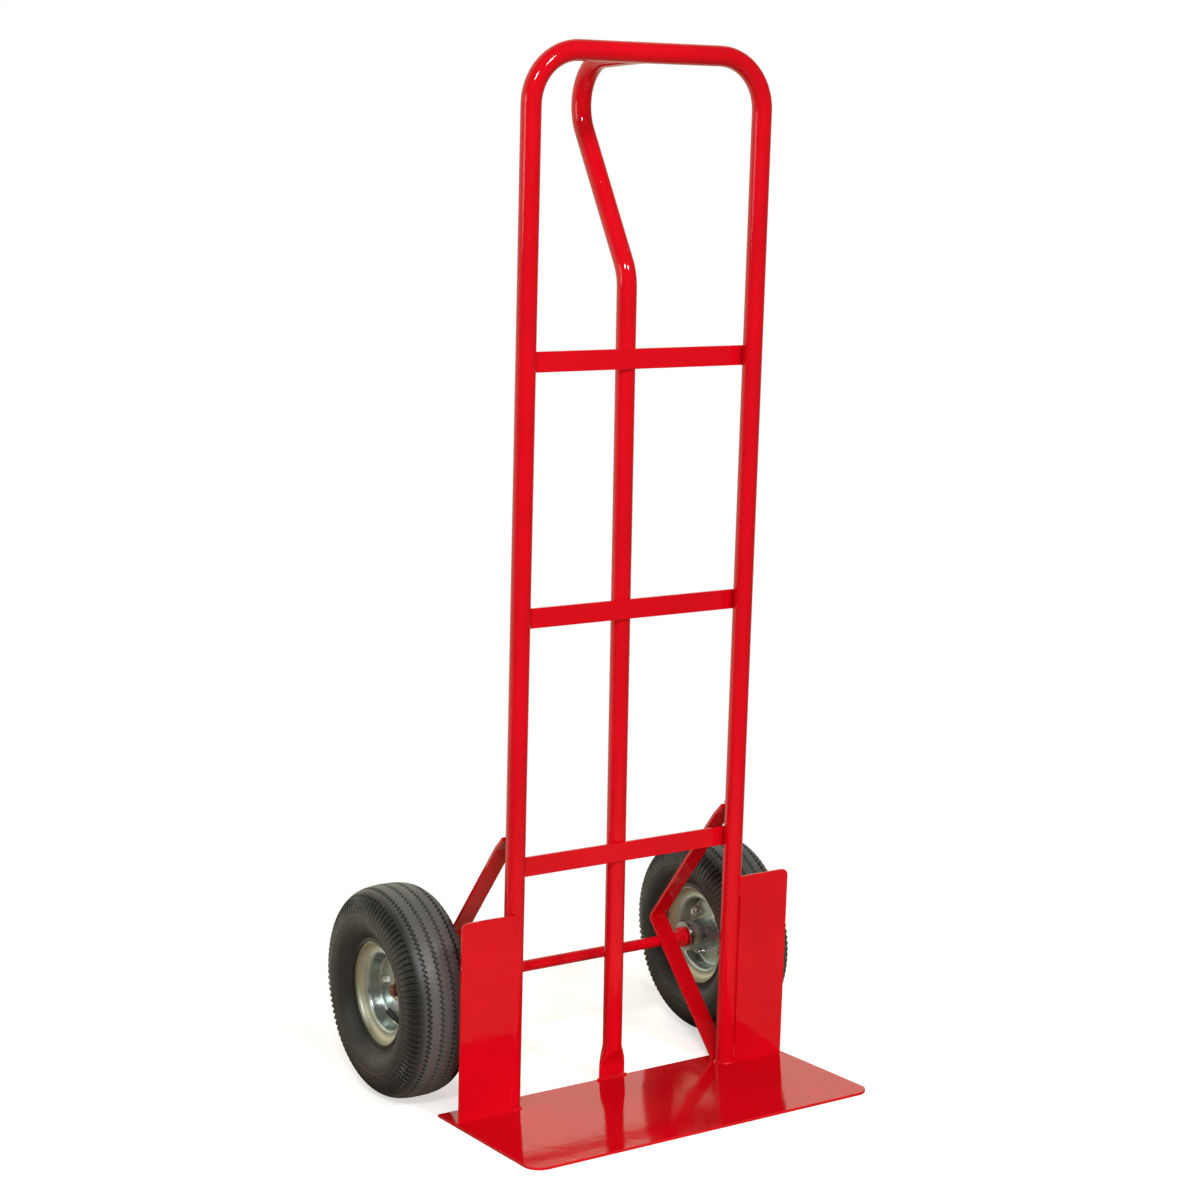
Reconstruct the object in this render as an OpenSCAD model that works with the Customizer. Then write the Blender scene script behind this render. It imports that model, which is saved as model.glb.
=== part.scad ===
// Hand truck with a P-shaped handle: a welded tube frame on two pneumatic wheels.
//
// Axes: X runs along the axle, +Y points from the load to the wheels, +Z is up.
// The origin is on the floor, under the middle of the whole truck.
// Left is the side of -X.  Lengths are millimetres.

/* [Frame] */
// Outer diameter of every frame tube
tube_d = 25; // [22:0.5:28]
// Wall of the frame tubes
tube_wall = 1.5; // [1.2:0.1:2]
// Distance between the middles of the two uprights
upright_gap = 328; // [300:1:360]
// Length of an upright from the floor to the middle of the top bar
upright_h = 1306; // [1200:1:1400]
// Bend radius of the two top corners, at the middle of the tube
hoop_r = 64; // [50:1:90]
// Forward lean of the frame, degrees
lean = 5.2; // [0:0.1:8]

/* [Centre tube and handle] */
// Distance of the centre tube's foot from the middle of the truck, towards the right
foot_x = 5; // [0:0.5:8]
// Sideways lean of the centre tube from there, towards the left, degrees
skew = 0.66; // [0:0.02:1]
// Height along the frame where the handle turns back
kink_h = 1043.5; // [1000:0.5:1100]
// Bend radius of that turn
kink_r = 60; // [40:1:80]
// Angle of the sloping grip from the frame, degrees
grip_angle = 31.7; // [28:0.1:36]
// Bend radius of the bow at the top of the handle
bow_r = 58; // [50:0.5:60]
// Fall of the top return towards its bow, against the frame's square line, degrees
return_fall = 3.1; // [0:0.1:5]
// Width of the flattened foot of the centre tube
foot_w = 38; // [34:1:39]
// Height of the flattened foot
foot_h = 18; // [14:1:40]

/* [Crossbars] */
// Heights of the lower edges along the frame
crossbar_h = [300.5, 616.5, 929];
// Width and thickness of the flat bar used for crossbars and braces
bar_w = 25; // [20:1:30]
bar_t = 4; // [3:0.5:5]
// Inside bend radius of the flat bar
bar_r = 5; // [3:0.5:8]

/* [Toe plate] */
// Width of the plate
toe_w = 500; // [450:1:520]
// Plate in front of the uprights, and behind them
toe_front = 206.8; // [180:0.1:240]
toe_back = 31.5; // [31:0.1:36]
// Thickness of the plate
toe_t = 3.5; // [3:0.5:6]
// Radius of the two front corners
toe_r = 22; // [10:1:40]

/* [Wings] */
// Outer edge of a wing, measured from the middle of its upright
wing_reach = 80.7; // [70:0.1:83]
// Inner edge of a wing, measured from the middle of its upright
wing_inset = 6; // [5:0.1:8]
// Height of a wing along the frame
wing_h = 263; // [200:1:300]
// Thickness of a wing
wing_t = 3; // [2:0.5:4]
// Radius of its outer top corner
wing_r = 9; // [5:1:20]

/* [Braces] */
// Distance of the fold behind the uprights at the floor
brace_reach = 158; // [152:1:170]
// Height at which a brace meets its upright
brace_top = 365; // [355:0.5:370]
// Length and slope of the bent tab at its top end
tab_len = 27; // [20:1:30]
tab_slope = 40; // [36:1:42]

/* [Axle] */
// Diameter of the axle rod
axle_d = 15; // [14.9:0.05:15]
// Distance of the axle behind the uprights at the floor
axle_back = 142.3; // [135:0.1:146]
// Distance from the middle of the truck to each end of the axle
axle_half = 255; // [254:1:262]

/* [Wheels] */
// Diameter of the tyre
tyre_d = 274; // [262:1:280]
// Width of the tyre
tyre_w = 94; // [88:1:96]
// Distance between the middles of the two tyres
track = 487.2; // [486:0.1:490]
// Turn of the left and of the right wheel on the axle, degrees
wheel_turn = [38, 95.5];

/* [Hidden] */
$fn = 96;

// Sides of the truck
left = -1;
right = 1;

// Colours
paint = [0.85, 0.06, 0.10];
tyre_black = [0.16, 0.16, 0.16];
tube_black = [0.10, 0.10, 0.11];
zinc = [0.74, 0.76, 0.74];
yellow_zinc = [0.80, 0.76, 0.60];
bright_steel = [0.72, 0.73, 0.75];

// Frame
tube_r = tube_d / 2;
// The centre tube touches the backs of the crossbars, which lie on the backs of the uprights
centre_gap = tube_d + bar_t;
// Crossbars reach this far past the middles of the uprights
bar_over = 4;
// Y of the uprights at the floor: it puts the origin under the middle of the truck
foot_y = (toe_front - axle_back - tyre_d / 2) / 2;
// Straights run this far into their bends, and a bend is this much fuller, so they are one solid
bend_lap = 0.1;
bend_fullness = 1.004;
// Root gap of the weld between the handle's return and the top bar
saddle_gap = 0.1;
// Larger than the whole truck, for cutting away half-spaces
vast = 3000;

// Centre tube: its path runs in a plane, as [back from the uprights, height along the frame]
top_point = [0, upright_h];
return_dir = [cos(return_fall), -sin(return_fall)];
grip_dir = [sin(grip_angle), cos(grip_angle)];
kink_point = [centre_gap, kink_h];
bow_point = crossing(kink_point, grip_dir, top_point, return_dir);
// The pressed foot: two tube walls lying on each other, and the length that opens to the round
foot_t = 2 * tube_wall + 0.4;
foot_open = 30;
// Height at which the round tube begins, inside the top of the opening part
round_start = foot_h + foot_open - 4;

// Wings: the inner edge of a wing's back touches its upright, this far in front of the middle
wing_back = sqrt(tube_r * tube_r - wing_inset * wing_inset);

// Braces: the lower leg lies on the axle, and its lower corner stands on the toe plate
axle_y = foot_y + axle_back;
axle_z = tyre_d / 2;
brace_foot = [foot_y + tube_r + 0.2, toe_t];
foot_to_axle = [axle_y, axle_z] - brace_foot;
brace_slope = atan2(foot_to_axle.y, foot_to_axle.x) + asin(axle_d / 2 / norm(foot_to_axle));
brace_mid = brace_foot + bar_t / 2 * [-sin(brace_slope), cos(brace_slope)];
brace_run = foot_y + brace_reach - brace_mid.x;
brace_fold = brace_mid + brace_run * [1, tan(brace_slope)];
brace_end = [foot_y - brace_top * tan(lean), brace_top];
brace_tab = brace_end + (tube_r + tab_len) * [cos(tab_slope), -sin(tab_slope)];

// Wheel bearings, size 6202: bore 15, outside 35, width 11
bearing_d = 35;
bearing_w = 11;
ball_n = 8;
ball_d = 5.95;
ball_track_r = 12.5;
inner_land_r = 10.7;
outer_land_r = 14.3;
seal_t = 1;
// Gap between faces that turn past each other
turn_gap = 0.3;
// The rings slide on the axle with this radial play
ring_play = 0.01;

// Places along the axle, as distances from the middle of the truck
collar_w = 7;
collar_d = 28;
hub_start = 196.5;
hub_end = 246.5;
collar_face = hub_start - turn_gap;
washer_face = hub_end + turn_gap;
washer_t = 2;
washer_d = 28;
pin_d = 3.2;
pin_hole_d = 3.6;
pin_at = washer_face + washer_t + pin_hole_d / 2 + 0.2;
axle_chamfer = 1;

// Hub
hub_d = 40;
hub_bore = 31;
hub_mid = track / 2;

// Rim: two pressed halves; places are [along the axle from the tyre's middle, radius]
rim_sheet = 2;
seat_r = 49.8;
flange_at = 19.5;
lip_r = 10;
lip_at = 29.5;
lip_top = 66;
bolt_circle_r = 37;
bolt_d = 8;
bolt_hole_d = 8.5;
bolt_n = 4;
bolt_first = 45;
hex_flats = 13;
head_h = 5.3;
nut_h = 6.5;
spring_t = 2;
bolt_over = 2.5;

// Tyre section: a superellipse around the middle of the section
section_power = 2.7;
section_mid_r = 100;
tread_t = 9.5;
side_t = 6;
bead_r = 51;
bead_toe = 13.5;
groove_at = [-25, -8.5, 8.5, 25];
groove_w = 3.5;
groove_deep = 4;

// Inner tube
skin_t = 1.8;
skin_gap = 0.7;
skin_low_r = 52.5;

// Valve: midway between two bolts it leaves the rim's wall, towards the axle and outwards
valve_angle = 180;
valve_tilt = 28;
valve_root = [9.5, 52];
valve_d = 7;
valve_len = 17;
valve_cap_d = 8.6;
valve_cap_len = 15;

// ---------------------------------------------------------------- geometry helpers

// The point where the line from p along u meets the line from q along v
function crossing(p, u, q, v) =
    p + u * ((q.x - p.x) * v.y - (q.y - p.y) * v.x) / (u.x * v.y - u.y * v.x);

// Direction of a path's leg i, and how far the path turns at its corner i
function heading(path, i) = atan2(path[i + 1].y - path[i].y, path[i + 1].x - path[i].x);
function wrapped(a) = a > 180 ? a - 360 : a < -180 ? a + 360 : a;
function turn(path, i) = wrapped(heading(path, i) - heading(path, i - 1));

// Length that a bend of radius r takes off both legs at corner i
function setback(path, i, r) = r * tan(abs(turn(path, i)) / 2);

// Centre and first angle of the bend at corner i, with its sweep always counter-clockwise
function unit(a) = [cos(a), sin(a)];
function side_of(path, i) = sign(turn(path, i));
function bend_centre(path, i, r) =
    path[i] - setback(path, i, r) * unit(heading(path, i - 1))
    + side_of(path, i) * r * unit(heading(path, i - 1) + 90);
function bend_start(path, i) =
    turn(path, i) > 0 ? heading(path, i - 1) - 90 : heading(path, i) + 90;

// Carries a cross-section along a path in the XY plane, with a bend of radii[i - 1] at corner i
module follow(path, radii)
    translate(path[0])
    rotate([0, 0, heading(path, 0)])
    leg(path, radii, 0)
    children();

// Leg i and all that comes after it, from the leg's first point and along local X
module leg(path, radii, i) {
    is_last = i == len(path) - 2;
    lead = i == 0 ? 0 : setback(path, i, radii[i - 1]);
    tail = is_last ? 0 : setback(path, i + 1, radii[i]);
    run = norm(path[i + 1] - path[i]) - lead - tail;
    lap_in = i == 0 ? 0 : bend_lap;
    lap_out = is_last ? 0 : bend_lap;
    translate([-lap_in, 0, 0]) rotate([90, 0, 90]) linear_extrude(lap_in + run + lap_out) children();
    if (!is_last) {
        a = turn(path, i + 1);
        centre = [0, sign(a) * radii[i], 0];
        translate([run, 0, 0]) {
            bend(a, radii[i]) children();
            translate(centre) rotate([0, 0, a]) translate(-centre)
                leg(path, radii, i + 1) children();
        }
    }
}

// A bend of angle a that starts at the origin along local X, to the left where a is positive
module bend(a, r)
    mirror([0, a < 0 ? 1 : 0, 0])
    translate([0, r, 0])
    rotate([0, 0, -90])
    rotate_extrude(angle = abs(a))
    translate([r, 0])
    scale(bend_fullness)
    children();

// The points of a path whose corners are rounded, six steps to a bend
function bend_points(path, i, r) = [
    for (k = [0 : 6])
        let (step = side_of(path, i) > 0 ? k / 6 : 1 - k / 6)
        bend_centre(path, i, r) + r * unit(bend_start(path, i) + step * abs(turn(path, i)))
];
function rounded(path, radii) = [
    path[0],
    for (i = [1 : len(path) - 2]) each bend_points(path, i, radii[i - 1]),
    path[len(path) - 1]
];

// The outline of a sheet of thickness t along a smooth line of points
function across(points, i) =
    let (last = len(points) - 1)
    let (along = points[min(i + 1, last)] - points[max(i - 1, 0)])
    [-along.y, along.x] / norm(along);
function sheet_outline(points, t) = concat(
    [for (i = [0 : len(points) - 1]) points[i] + t / 2 * across(points, i)],
    [for (i = [len(points) - 1 : -1 : 0]) points[i] - t / 2 * across(points, i)]
);

// One quarter-and-more of a superellipse, from a low angle up to the crown at 90
function bulge(half_w, half_h, mid_r, low, steps) = [
    for (k = [0 : steps])
        let (a = low + (90 - low) * k / steps)
        [half_w * pow(cos(a), 2 / section_power),
         mid_r + half_h * sign(a) * pow(abs(sin(a)), 2 / section_power)]
];
// A half outline on the side of +X, closed by its mirror image
function mirrored(half) = concat(half, [for (i = [len(half) - 1 : -1 : 0]) [-half[i].x, half[i].y]]);

// Places things in the leaning frame: Z runs up the uprights, Y points straight back from them
module leaned() translate([0, foot_y, 0]) rotate([lean, 0, 0]) children();

// Turns a path's XY plane into the truck's YZ plane, and into its XZ plane
module side_view() rotate([90, 0, 90]) children();
module front_view() rotate([90, 0, 0]) children();

// Stands things on the foot of the centre tube, and leans them sideways with it
module skewed() leaned() translate([foot_x, 0, 0]) rotate([0, -skew, 0]) children();

// Everything at and below the top of the toe plate, and everything in front of the tubes' backs
module below_plate() translate([-vast / 2, -vast / 2, toe_t - vast]) cube(vast);
module before_tube_backs() leaned() translate([-vast / 2, tube_r - vast, -vast / 2]) cube(vast);

// Places a wheel's parts: local Z points outwards along the axle, local X is up, local Y is back
module at_wheel(side)
    mirror([side == right ? 1 : 0, 0, 0])
    translate([-hub_mid, axle_y, axle_z])
    rotate([0, -90, 0])
    rotate([0, 0, side == right ? wheel_turn[1] : wheel_turn[0]])
    children();

// Places a part on the axle: local Z points outwards, from the middle of the truck
module on_axle(side)
    mirror([side == right ? 1 : 0, 0, 0])
    translate([0, axle_y, axle_z])
    rotate([0, -90, 0])
    children();

// A ring around local Z, from z = 0 to z = h
module ring(outer_d, inner_d, h)
    rotate_extrude()
    translate([inner_d / 2, 0])
    square([(outer_d - inner_d) / 2, h]);

// A hexagon prism, measured across its flats
module hexagon(flats, h) cylinder(d = flats / cos(30), h = h, $fn = 6);

// Places things at the four rim bolts: local Z points from a bolt's head to its nut, inwards
module at_bolts()
    for (i = [0 : bolt_n - 1])
    rotate([0, 0, bolt_first + i * 360 / bolt_n])
    translate([bolt_circle_r, 0, 0])
    mirror([0, 0, 1])
    children();

// Places things at the two bearings of a wheel, each with its faces at z = 0 and z = bearing_w
module at_bearings() {
    translate([0, 0, hub_start - hub_mid]) children();
    translate([0, 0, hub_end - hub_mid - bearing_w]) children();
}

// ---------------------------------------------------------------- frame

// The inverted U: both uprights and the top bar, bent from one tube
module hoop_run(d, spare) {
    path = [
        [-upright_gap / 2, -spare], [-upright_gap / 2, upright_h],
        [upright_gap / 2, upright_h], [upright_gap / 2, -spare]
    ];
    leaned() front_view() follow(path, [hoop_r, hoop_r]) circle(d = d);
}

module frame_hoop()
    color(paint)
    difference() {
        hoop_run(tube_d, tube_d);
        hoop_run(tube_d - 2 * tube_wall, 2 * tube_d);
        below_plate();
    }

// The centre tube, from its round part above the foot to the end of the handle's return
module handle_run(d, spare) {
    path = [[centre_gap, round_start], kink_point, bow_point, top_point - spare * return_dir];
    skewed() side_view() follow(path, [kink_r, bow_r]) circle(d = d);
}

// The pressed foot stands on local Z, flat below foot_h, and opens to the round above it
module pressed_foot() {
    edge_x = (foot_w - foot_t) / 2;
    translate([-edge_x, -foot_t / 2, -foot_t]) cube([2 * edge_x, foot_t, foot_h + foot_t]);
    for (x = [-edge_x, edge_x])
        translate([x, 0, -foot_t]) cylinder(d = foot_t, h = foot_h + foot_t);
    hull() {
        translate([-edge_x, -foot_t / 2 + 0.05, foot_h - 1]) cube([2 * edge_x, foot_t - 0.1, 1]);
        translate([0, 0, foot_h + foot_open]) cylinder(d = tube_d - 0.1, h = 0.5, $fn = 32);
    }
}

// The hollow of the opening part of the foot: a cone that ends just inside the round bore
module foot_hollow()
    translate([0, 0, foot_h + 2])
    cylinder(d1 = 1, d2 = tube_d - 2 * tube_wall - 2, h = round_start - foot_h - 1);

module at_foot() skewed() translate([0, centre_gap, 0]) children();

module centre_tube()
    color(paint)
    difference() {
        union() {
            handle_run(tube_d, 0);
            at_foot() pressed_foot();
        }
        handle_run(tube_d - 2 * tube_wall, 1);
        at_foot() foot_hollow();
        leaned()
            translate([-2 * tube_d, 0, upright_h])
            rotate([0, 90, 0])
            cylinder(d = tube_d + 2 * saddle_gap, h = 4 * tube_d);
        below_plate();
    }

// A flat bar across the backs of the uprights
module crossbar(level) {
    half = upright_gap / 2 + bar_over;
    color(paint)
        leaned()
        translate([-half, tube_r, crossbar_h[level]])
        cube([2 * half, bar_t, bar_w]);
}

// The load plate, with two rounded front corners
module toe_plate() {
    front_y = foot_y - toe_front;
    depth = toe_front + toe_back;
    color(paint) linear_extrude(toe_t) {
        translate([-toe_w / 2, front_y + toe_r]) square([toe_w, depth - toe_r]);
        translate([toe_r - toe_w / 2, front_y]) square([toe_w - 2 * toe_r, toe_r]);
        for (x = [toe_r - toe_w / 2, toe_w / 2 - toe_r])
            translate([x, front_y + toe_r]) circle(r = toe_r);
    }
}

// A side plate in front of each upright, which keeps the load off the wheel
module wing(side)
    color(paint)
    mirror([side == left ? 1 : 0, 0, 0])
    difference() {
        leaned()
            translate([upright_gap / 2 + wing_inset, -wing_back, -wing_t * 4])
            rotate([90, 0, 0])
            linear_extrude(wing_t) {
                reach = wing_reach - wing_inset;
                height = wing_h + wing_t * 4;
                square([reach - wing_r, height]);
                square([reach, height - wing_r]);
                translate([reach - wing_r, height - wing_r]) circle(r = wing_r);
            }
        below_plate();
    }

// A folded flat bar from the foot of an upright, over the axle, and back to the upright
module brace(side) {
    bend = bar_r + bar_t / 2;
    path = [brace_mid - bar_w * unit(brace_slope), brace_fold, brace_tab, brace_end];
    color(paint) difference() {
        translate([side * upright_gap / 2, 0, 0])
            side_view()
            follow(path, [bend, 6 * bend])
            square([bar_t, bar_w], center = true);
        before_tube_backs();
        below_plate();
    }
}

// ---------------------------------------------------------------- axle

module axle_end(side)
    on_axle(side)
    difference() {
        union() {
            cylinder(d = axle_d, h = axle_half - axle_chamfer);
            translate([0, 0, axle_half - axle_chamfer])
                cylinder(d1 = axle_d, d2 = axle_d - 2 * axle_chamfer, h = axle_chamfer);
        }
        translate([-axle_d, 0, pin_at]) rotate([0, 90, 0]) cylinder(d = pin_hole_d, h = 2 * axle_d);
    }

// One rod through both wheels, drilled near each end for a split pin
module axle() color(paint) {
    axle_end(left);
    axle_end(right);
}

// Rings welded to the axle on the inner side of each wheel
module axle_collars()
    color(paint)
    for (side = [left, right])
    on_axle(side)
    translate([0, 0, collar_face - collar_w])
    ring(collar_d, axle_d, collar_w);

// Flat washers between each wheel and its split pin
module retaining_washers()
    color(zinc)
    for (side = [left, right])
    on_axle(side)
    translate([0, 0, washer_face])
    ring(washer_d, axle_d + 1, washer_t);

// A split pin: an eye, a shank through the axle, and two legs spread behind it
module split_pin() {
    eye_r = 3;
    wire_d = pin_d / 2;
    shank = axle_d / 2 + 1.5;
    cylinder(d = pin_d, h = 2 * shank, center = true);
    translate([0, 0, shank + eye_r])
        rotate([0, 90, 0])
        rotate_extrude()
        translate([eye_r, 0])
        circle(d = wire_d);
    for (way = [-1, 1])
        translate([0, way * wire_d / 2, -shank])
            rotate([180 - way * 35, 0, 0])
            cylinder(d = wire_d, h = 9);
}

module split_pins()
    color(zinc)
    for (side = [left, right])
    on_axle(side)
    translate([0, 0, pin_at])
    rotate([0, 90, 0])
    split_pin();

// The inner rings of a wheel's two bearings stay on the axle
module bearing_inner_rings(side)
    color(bright_steel)
    at_wheel(side)
    at_bearings()
    rotate_extrude()
    difference() {
        translate([axle_d / 2 + ring_play, 0]) square([inner_land_r - axle_d / 2 - ring_play, bearing_w]);
        translate([ball_track_r, bearing_w / 2]) circle(d = ball_d + 2 * turn_gap);
    }

// ---------------------------------------------------------------- wheel

// The section of the tyre: beads on the rim, sidewalls, shoulders and a grooved tread
module tyre_section() {
    half_w = tyre_w / 2;
    half_h = tyre_d / 2 - section_mid_r;
    cavity_h = half_h - tread_t + 3;
    heel = flange_at - rim_sheet / 2 - 0.2;
    heel_cut = 1.4;
    lip_clear = lip_r + rim_sheet / 2 + 0.3;
    outside = concat(
        [[bead_toe, bead_r], [heel - heel_cut, bead_r], [heel, bead_r + heel_cut]],
        [[heel, lip_top - lip_r]],
        [for (a = [165 : -15 : 105]) [lip_at, lip_top - lip_r] + lip_clear * unit(a)],
        bulge(half_w, half_h, section_mid_r, -56, 16)
    );
    inside = concat(
        [[bead_toe, bead_r], [bead_toe, bead_r + 7]],
        bulge(half_w - side_t, cavity_h, section_mid_r - 3, -70, 12)
    );
    difference() {
        polygon(mirrored(outside));
        polygon(mirrored(inside));
        for (x = groove_at) {
            across_w = pow(abs(x) / half_w, section_power);
            surface_r = section_mid_r + half_h * pow(1 - across_w, 1 / section_power);
            translate([x - groove_w / 2, surface_r - groove_deep]) square([groove_w, 3 * groove_deep]);
        }
    }
}

// Turns a section of [along the axle, radius] around local Z
module around_axle() rotate_extrude() rotate(90) mirror([0, 1]) children();

module tyre(side) color(tyre_black) at_wheel(side) around_axle() tyre_section();

// The air tube inside the tyre, with an opening where its valve is
module inner_tube_section(inset) {
    half_w = tyre_w / 2 - side_t - skin_gap;
    half_h = tyre_d / 2 - section_mid_r - tread_t + 3 - skin_gap;
    low = [[bead_toe - 1 - inset, skin_low_r + inset], [bead_toe - 1 - inset, bead_r + 8]];
    polygon(mirrored(concat(low, bulge(half_w - inset, half_h - inset, section_mid_r - 3, -70, 12))));
}

module inner_tube(side)
    color(tube_black)
    at_wheel(side)
    difference() {
        around_axle() difference() {
            inner_tube_section(0);
            inner_tube_section(skin_t);
        }
        at_valve() translate([0, 0, -6]) cylinder(d = valve_d + 0.2, h = 12);
    }

// Places things at the valve: local Z points along the stem, away from the tyre
module at_valve()
    rotate([0, 0, -valve_angle])
    translate([valve_root.y, 0, valve_root.x])
    rotate([0, valve_tilt - 90, 0])
    children();

// A rubber-covered stem that comes out of the rim's wall
module valve_stem(side) color(tube_black) at_wheel(side) at_valve() cylinder(d = valve_d, h = valve_len);

module valve_cap(side)
    color(tube_black)
    at_wheel(side)
    at_valve()
    translate([0, 0, valve_len]) {
        cylinder(d = valve_cap_d, h = valve_cap_len - 1);
        translate([0, 0, valve_cap_len - 1])
            cylinder(d1 = valve_cap_d, d2 = valve_cap_d - 2, h = 1);
    }

// Half of the rim: a disc on the hub, a wall under the bead, and a flange with a curled lip
module rim_half() {
    line = [
        [rim_sheet / 2, hub_d / 2], [rim_sheet / 2, seat_r - 1.5], [flange_at, seat_r],
        [flange_at, lip_top], [lip_at, lip_top]
    ];
    difference() {
        around_axle() polygon(sheet_outline(rounded(line, [4, 3, lip_r - 0.1]), rim_sheet));
        at_bolts() cylinder(d = bolt_hole_d, h = 3 * rim_sheet, center = true);
    }
}

module rim_outer(side)
    color(zinc)
    at_wheel(side)
    difference() {
        rim_half();
        at_valve() cylinder(d = valve_d + 0.4, h = valve_len);
    }

module rim_inner(side) color(zinc) at_wheel(side) mirror([0, 0, 1]) rim_half();

// A tube with a seat for a bearing at each end
module hub(side)
    color(zinc)
    at_wheel(side)
    difference() {
        translate([0, 0, hub_start - hub_mid]) cylinder(d = hub_d, h = hub_end - hub_start);
        translate([0, 0, hub_start - hub_mid - 1]) cylinder(d = hub_bore, h = hub_end - hub_start + 2);
        at_bearings() cylinder(d = bearing_d, h = bearing_w);
    }

module bearing_outer_rings(side)
    color(bright_steel)
    at_wheel(side)
    at_bearings()
    rotate_extrude()
    difference() {
        translate([outer_land_r, 0]) square([bearing_d / 2 - outer_land_r, bearing_w]);
        translate([ball_track_r, bearing_w / 2]) circle(d = ball_d);
    }

module bearing_balls(side)
    color(bright_steel)
    at_wheel(side)
    at_bearings()
    for (i = [0 : ball_n - 1])
    rotate([0, 0, i * 360 / ball_n])
    translate([ball_track_r, 0, bearing_w / 2])
    sphere(d = ball_d - 0.05);

// Thin rings that close both faces of each bearing
module bearing_seals(side)
    color(tube_black)
    at_wheel(side)
    at_bearings()
    for (z = [0.3, bearing_w - 0.3 - seal_t])
    translate([0, 0, z])
    ring(2 * outer_land_r, 2 * (inner_land_r + turn_gap), seal_t);

// Bolts with their heads on the outer side of the wheel, and a bare thread end past each nut
module rim_bolts(side)
    color(zinc)
    at_wheel(side)
    at_bolts() {
        translate([0, 0, -rim_sheet - head_h]) hexagon(hex_flats, head_h);
        translate([0, 0, -rim_sheet])
            cylinder(d = bolt_d, h = 2 * rim_sheet + spring_t + nut_h + bolt_over);
    }

// Spring washers, each split at one place
module rim_washers(side)
    color(zinc)
    at_wheel(side)
    at_bolts()
    translate([0, 0, rim_sheet])
    difference() {
        ring(12.7, bolt_d + 0.2, spring_t);
        translate([0, -0.6, -1]) cube([10, 1.2, spring_t + 2]);
    }

module rim_nuts(side)
    color(zinc)
    at_wheel(side)
    at_bolts()
    translate([0, 0, rim_sheet + spring_t])
    difference() {
        intersection() {
            hexagon(hex_flats, nut_h);
            translate([0, 0, -6.4]) cylinder(d1 = 24, d2 = 12, h = nut_h + 6.4);
        }
        translate([0, 0, -1]) cylinder(d = bolt_d, h = nut_h + 2);
    }

// ---------------------------------------------------------------- nodes

frame_hoop();
centre_tube();
crossbar(0);  // crossbar_lower
crossbar(1);  // crossbar_middle
crossbar(2);  // crossbar_upper
toe_plate();
wing(left);  // wing_left
wing(right);  // wing_right
brace(left);  // brace_left
brace(right);  // brace_right
axle();
axle_collars();
retaining_washers();
split_pins();
bearing_inner_rings(left);  // bearing_inner_rings_left
bearing_inner_rings(right);  // bearing_inner_rings_right
tyre(left);  // tyre_left
inner_tube(left);  // inner_tube_left
valve_stem(left);  // valve_stem_left
valve_cap(left);  // valve_cap_left
rim_outer(left);  // rim_outer_left
rim_inner(left);  // rim_inner_left
hub(left);  // hub_left
bearing_outer_rings(left);  // bearing_outer_rings_left
bearing_balls(left);  // bearing_balls_left
bearing_seals(left);  // bearing_seals_left
rim_bolts(left);  // rim_bolts_left
rim_washers(left);  // rim_washers_left
rim_nuts(left);  // rim_nuts_left
tyre(right);  // tyre_right
inner_tube(right);  // inner_tube_right
valve_stem(right);  // valve_stem_right
valve_cap(right);  // valve_cap_right
rim_outer(right);  // rim_outer_right
rim_inner(right);  // rim_inner_right
hub(right);  // hub_right
bearing_outer_rings(right);  // bearing_outer_rings_right
bearing_balls(right);  // bearing_balls_right
bearing_seals(right);  // bearing_seals_right
rim_bolts(right);  // rim_bolts_right
rim_washers(right);  // rim_washers_right
rim_nuts(right);  // rim_nuts_right
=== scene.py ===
"""Looks of the hand truck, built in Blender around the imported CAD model.

Metres, in the row frame: X along the axle, +Y from the load to the wheels, +Z up.
"""

from math import asin, atan2, ceil, cos, hypot, pi, radians, sin, sqrt, tan

import bpy
import numpy as np
from mathutils import Matrix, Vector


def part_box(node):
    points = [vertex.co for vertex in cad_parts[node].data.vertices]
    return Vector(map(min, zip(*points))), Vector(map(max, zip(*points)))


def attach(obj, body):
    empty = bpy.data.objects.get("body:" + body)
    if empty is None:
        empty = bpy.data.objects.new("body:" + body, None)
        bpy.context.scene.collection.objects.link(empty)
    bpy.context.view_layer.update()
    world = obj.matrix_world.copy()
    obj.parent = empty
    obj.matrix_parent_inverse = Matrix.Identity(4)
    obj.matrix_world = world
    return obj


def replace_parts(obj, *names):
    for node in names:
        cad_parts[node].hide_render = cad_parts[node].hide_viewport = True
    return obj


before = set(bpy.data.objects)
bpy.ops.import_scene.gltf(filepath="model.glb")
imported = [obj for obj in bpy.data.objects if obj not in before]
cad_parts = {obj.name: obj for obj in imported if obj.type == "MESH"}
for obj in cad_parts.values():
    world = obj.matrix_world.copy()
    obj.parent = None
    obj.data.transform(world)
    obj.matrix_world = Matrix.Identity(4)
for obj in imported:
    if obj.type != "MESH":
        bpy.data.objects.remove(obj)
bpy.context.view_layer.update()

MM = 0.001
SIDES = {"left": -1, "right": 1}

# ---------------------------------------------------------------- sizes shared with the CAD model
LEAN = radians(5.2)
FOOT_Y = -36.25 * MM
UPRIGHT_X = 164 * MM
UPRIGHT_H = 1306 * MM
TUBE_R = 12.5 * MM
PLATE_T = 3.5 * MM

CENTRE_FOOT_X = 5 * MM
CENTRE_SKEW = radians(0.66)
CENTRE_GAP = 29 * MM
KINK_H = 1043.5 * MM
KINK_R = 60 * MM
GRIP_ANGLE = radians(31.7)
BOW_R = 58 * MM
RETURN_FALL = radians(3.1)
FOOT_W = 38 * MM
FOOT_T = 3.4 * MM
FOOT_FLAT_H = 18 * MM
FOOT_OPEN = 30 * MM

CROSSBAR_HEIGHTS = [300.5 * MM, 616.5 * MM, 929 * MM]
BAR_W = 25 * MM
BAR_T = 4 * MM

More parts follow.
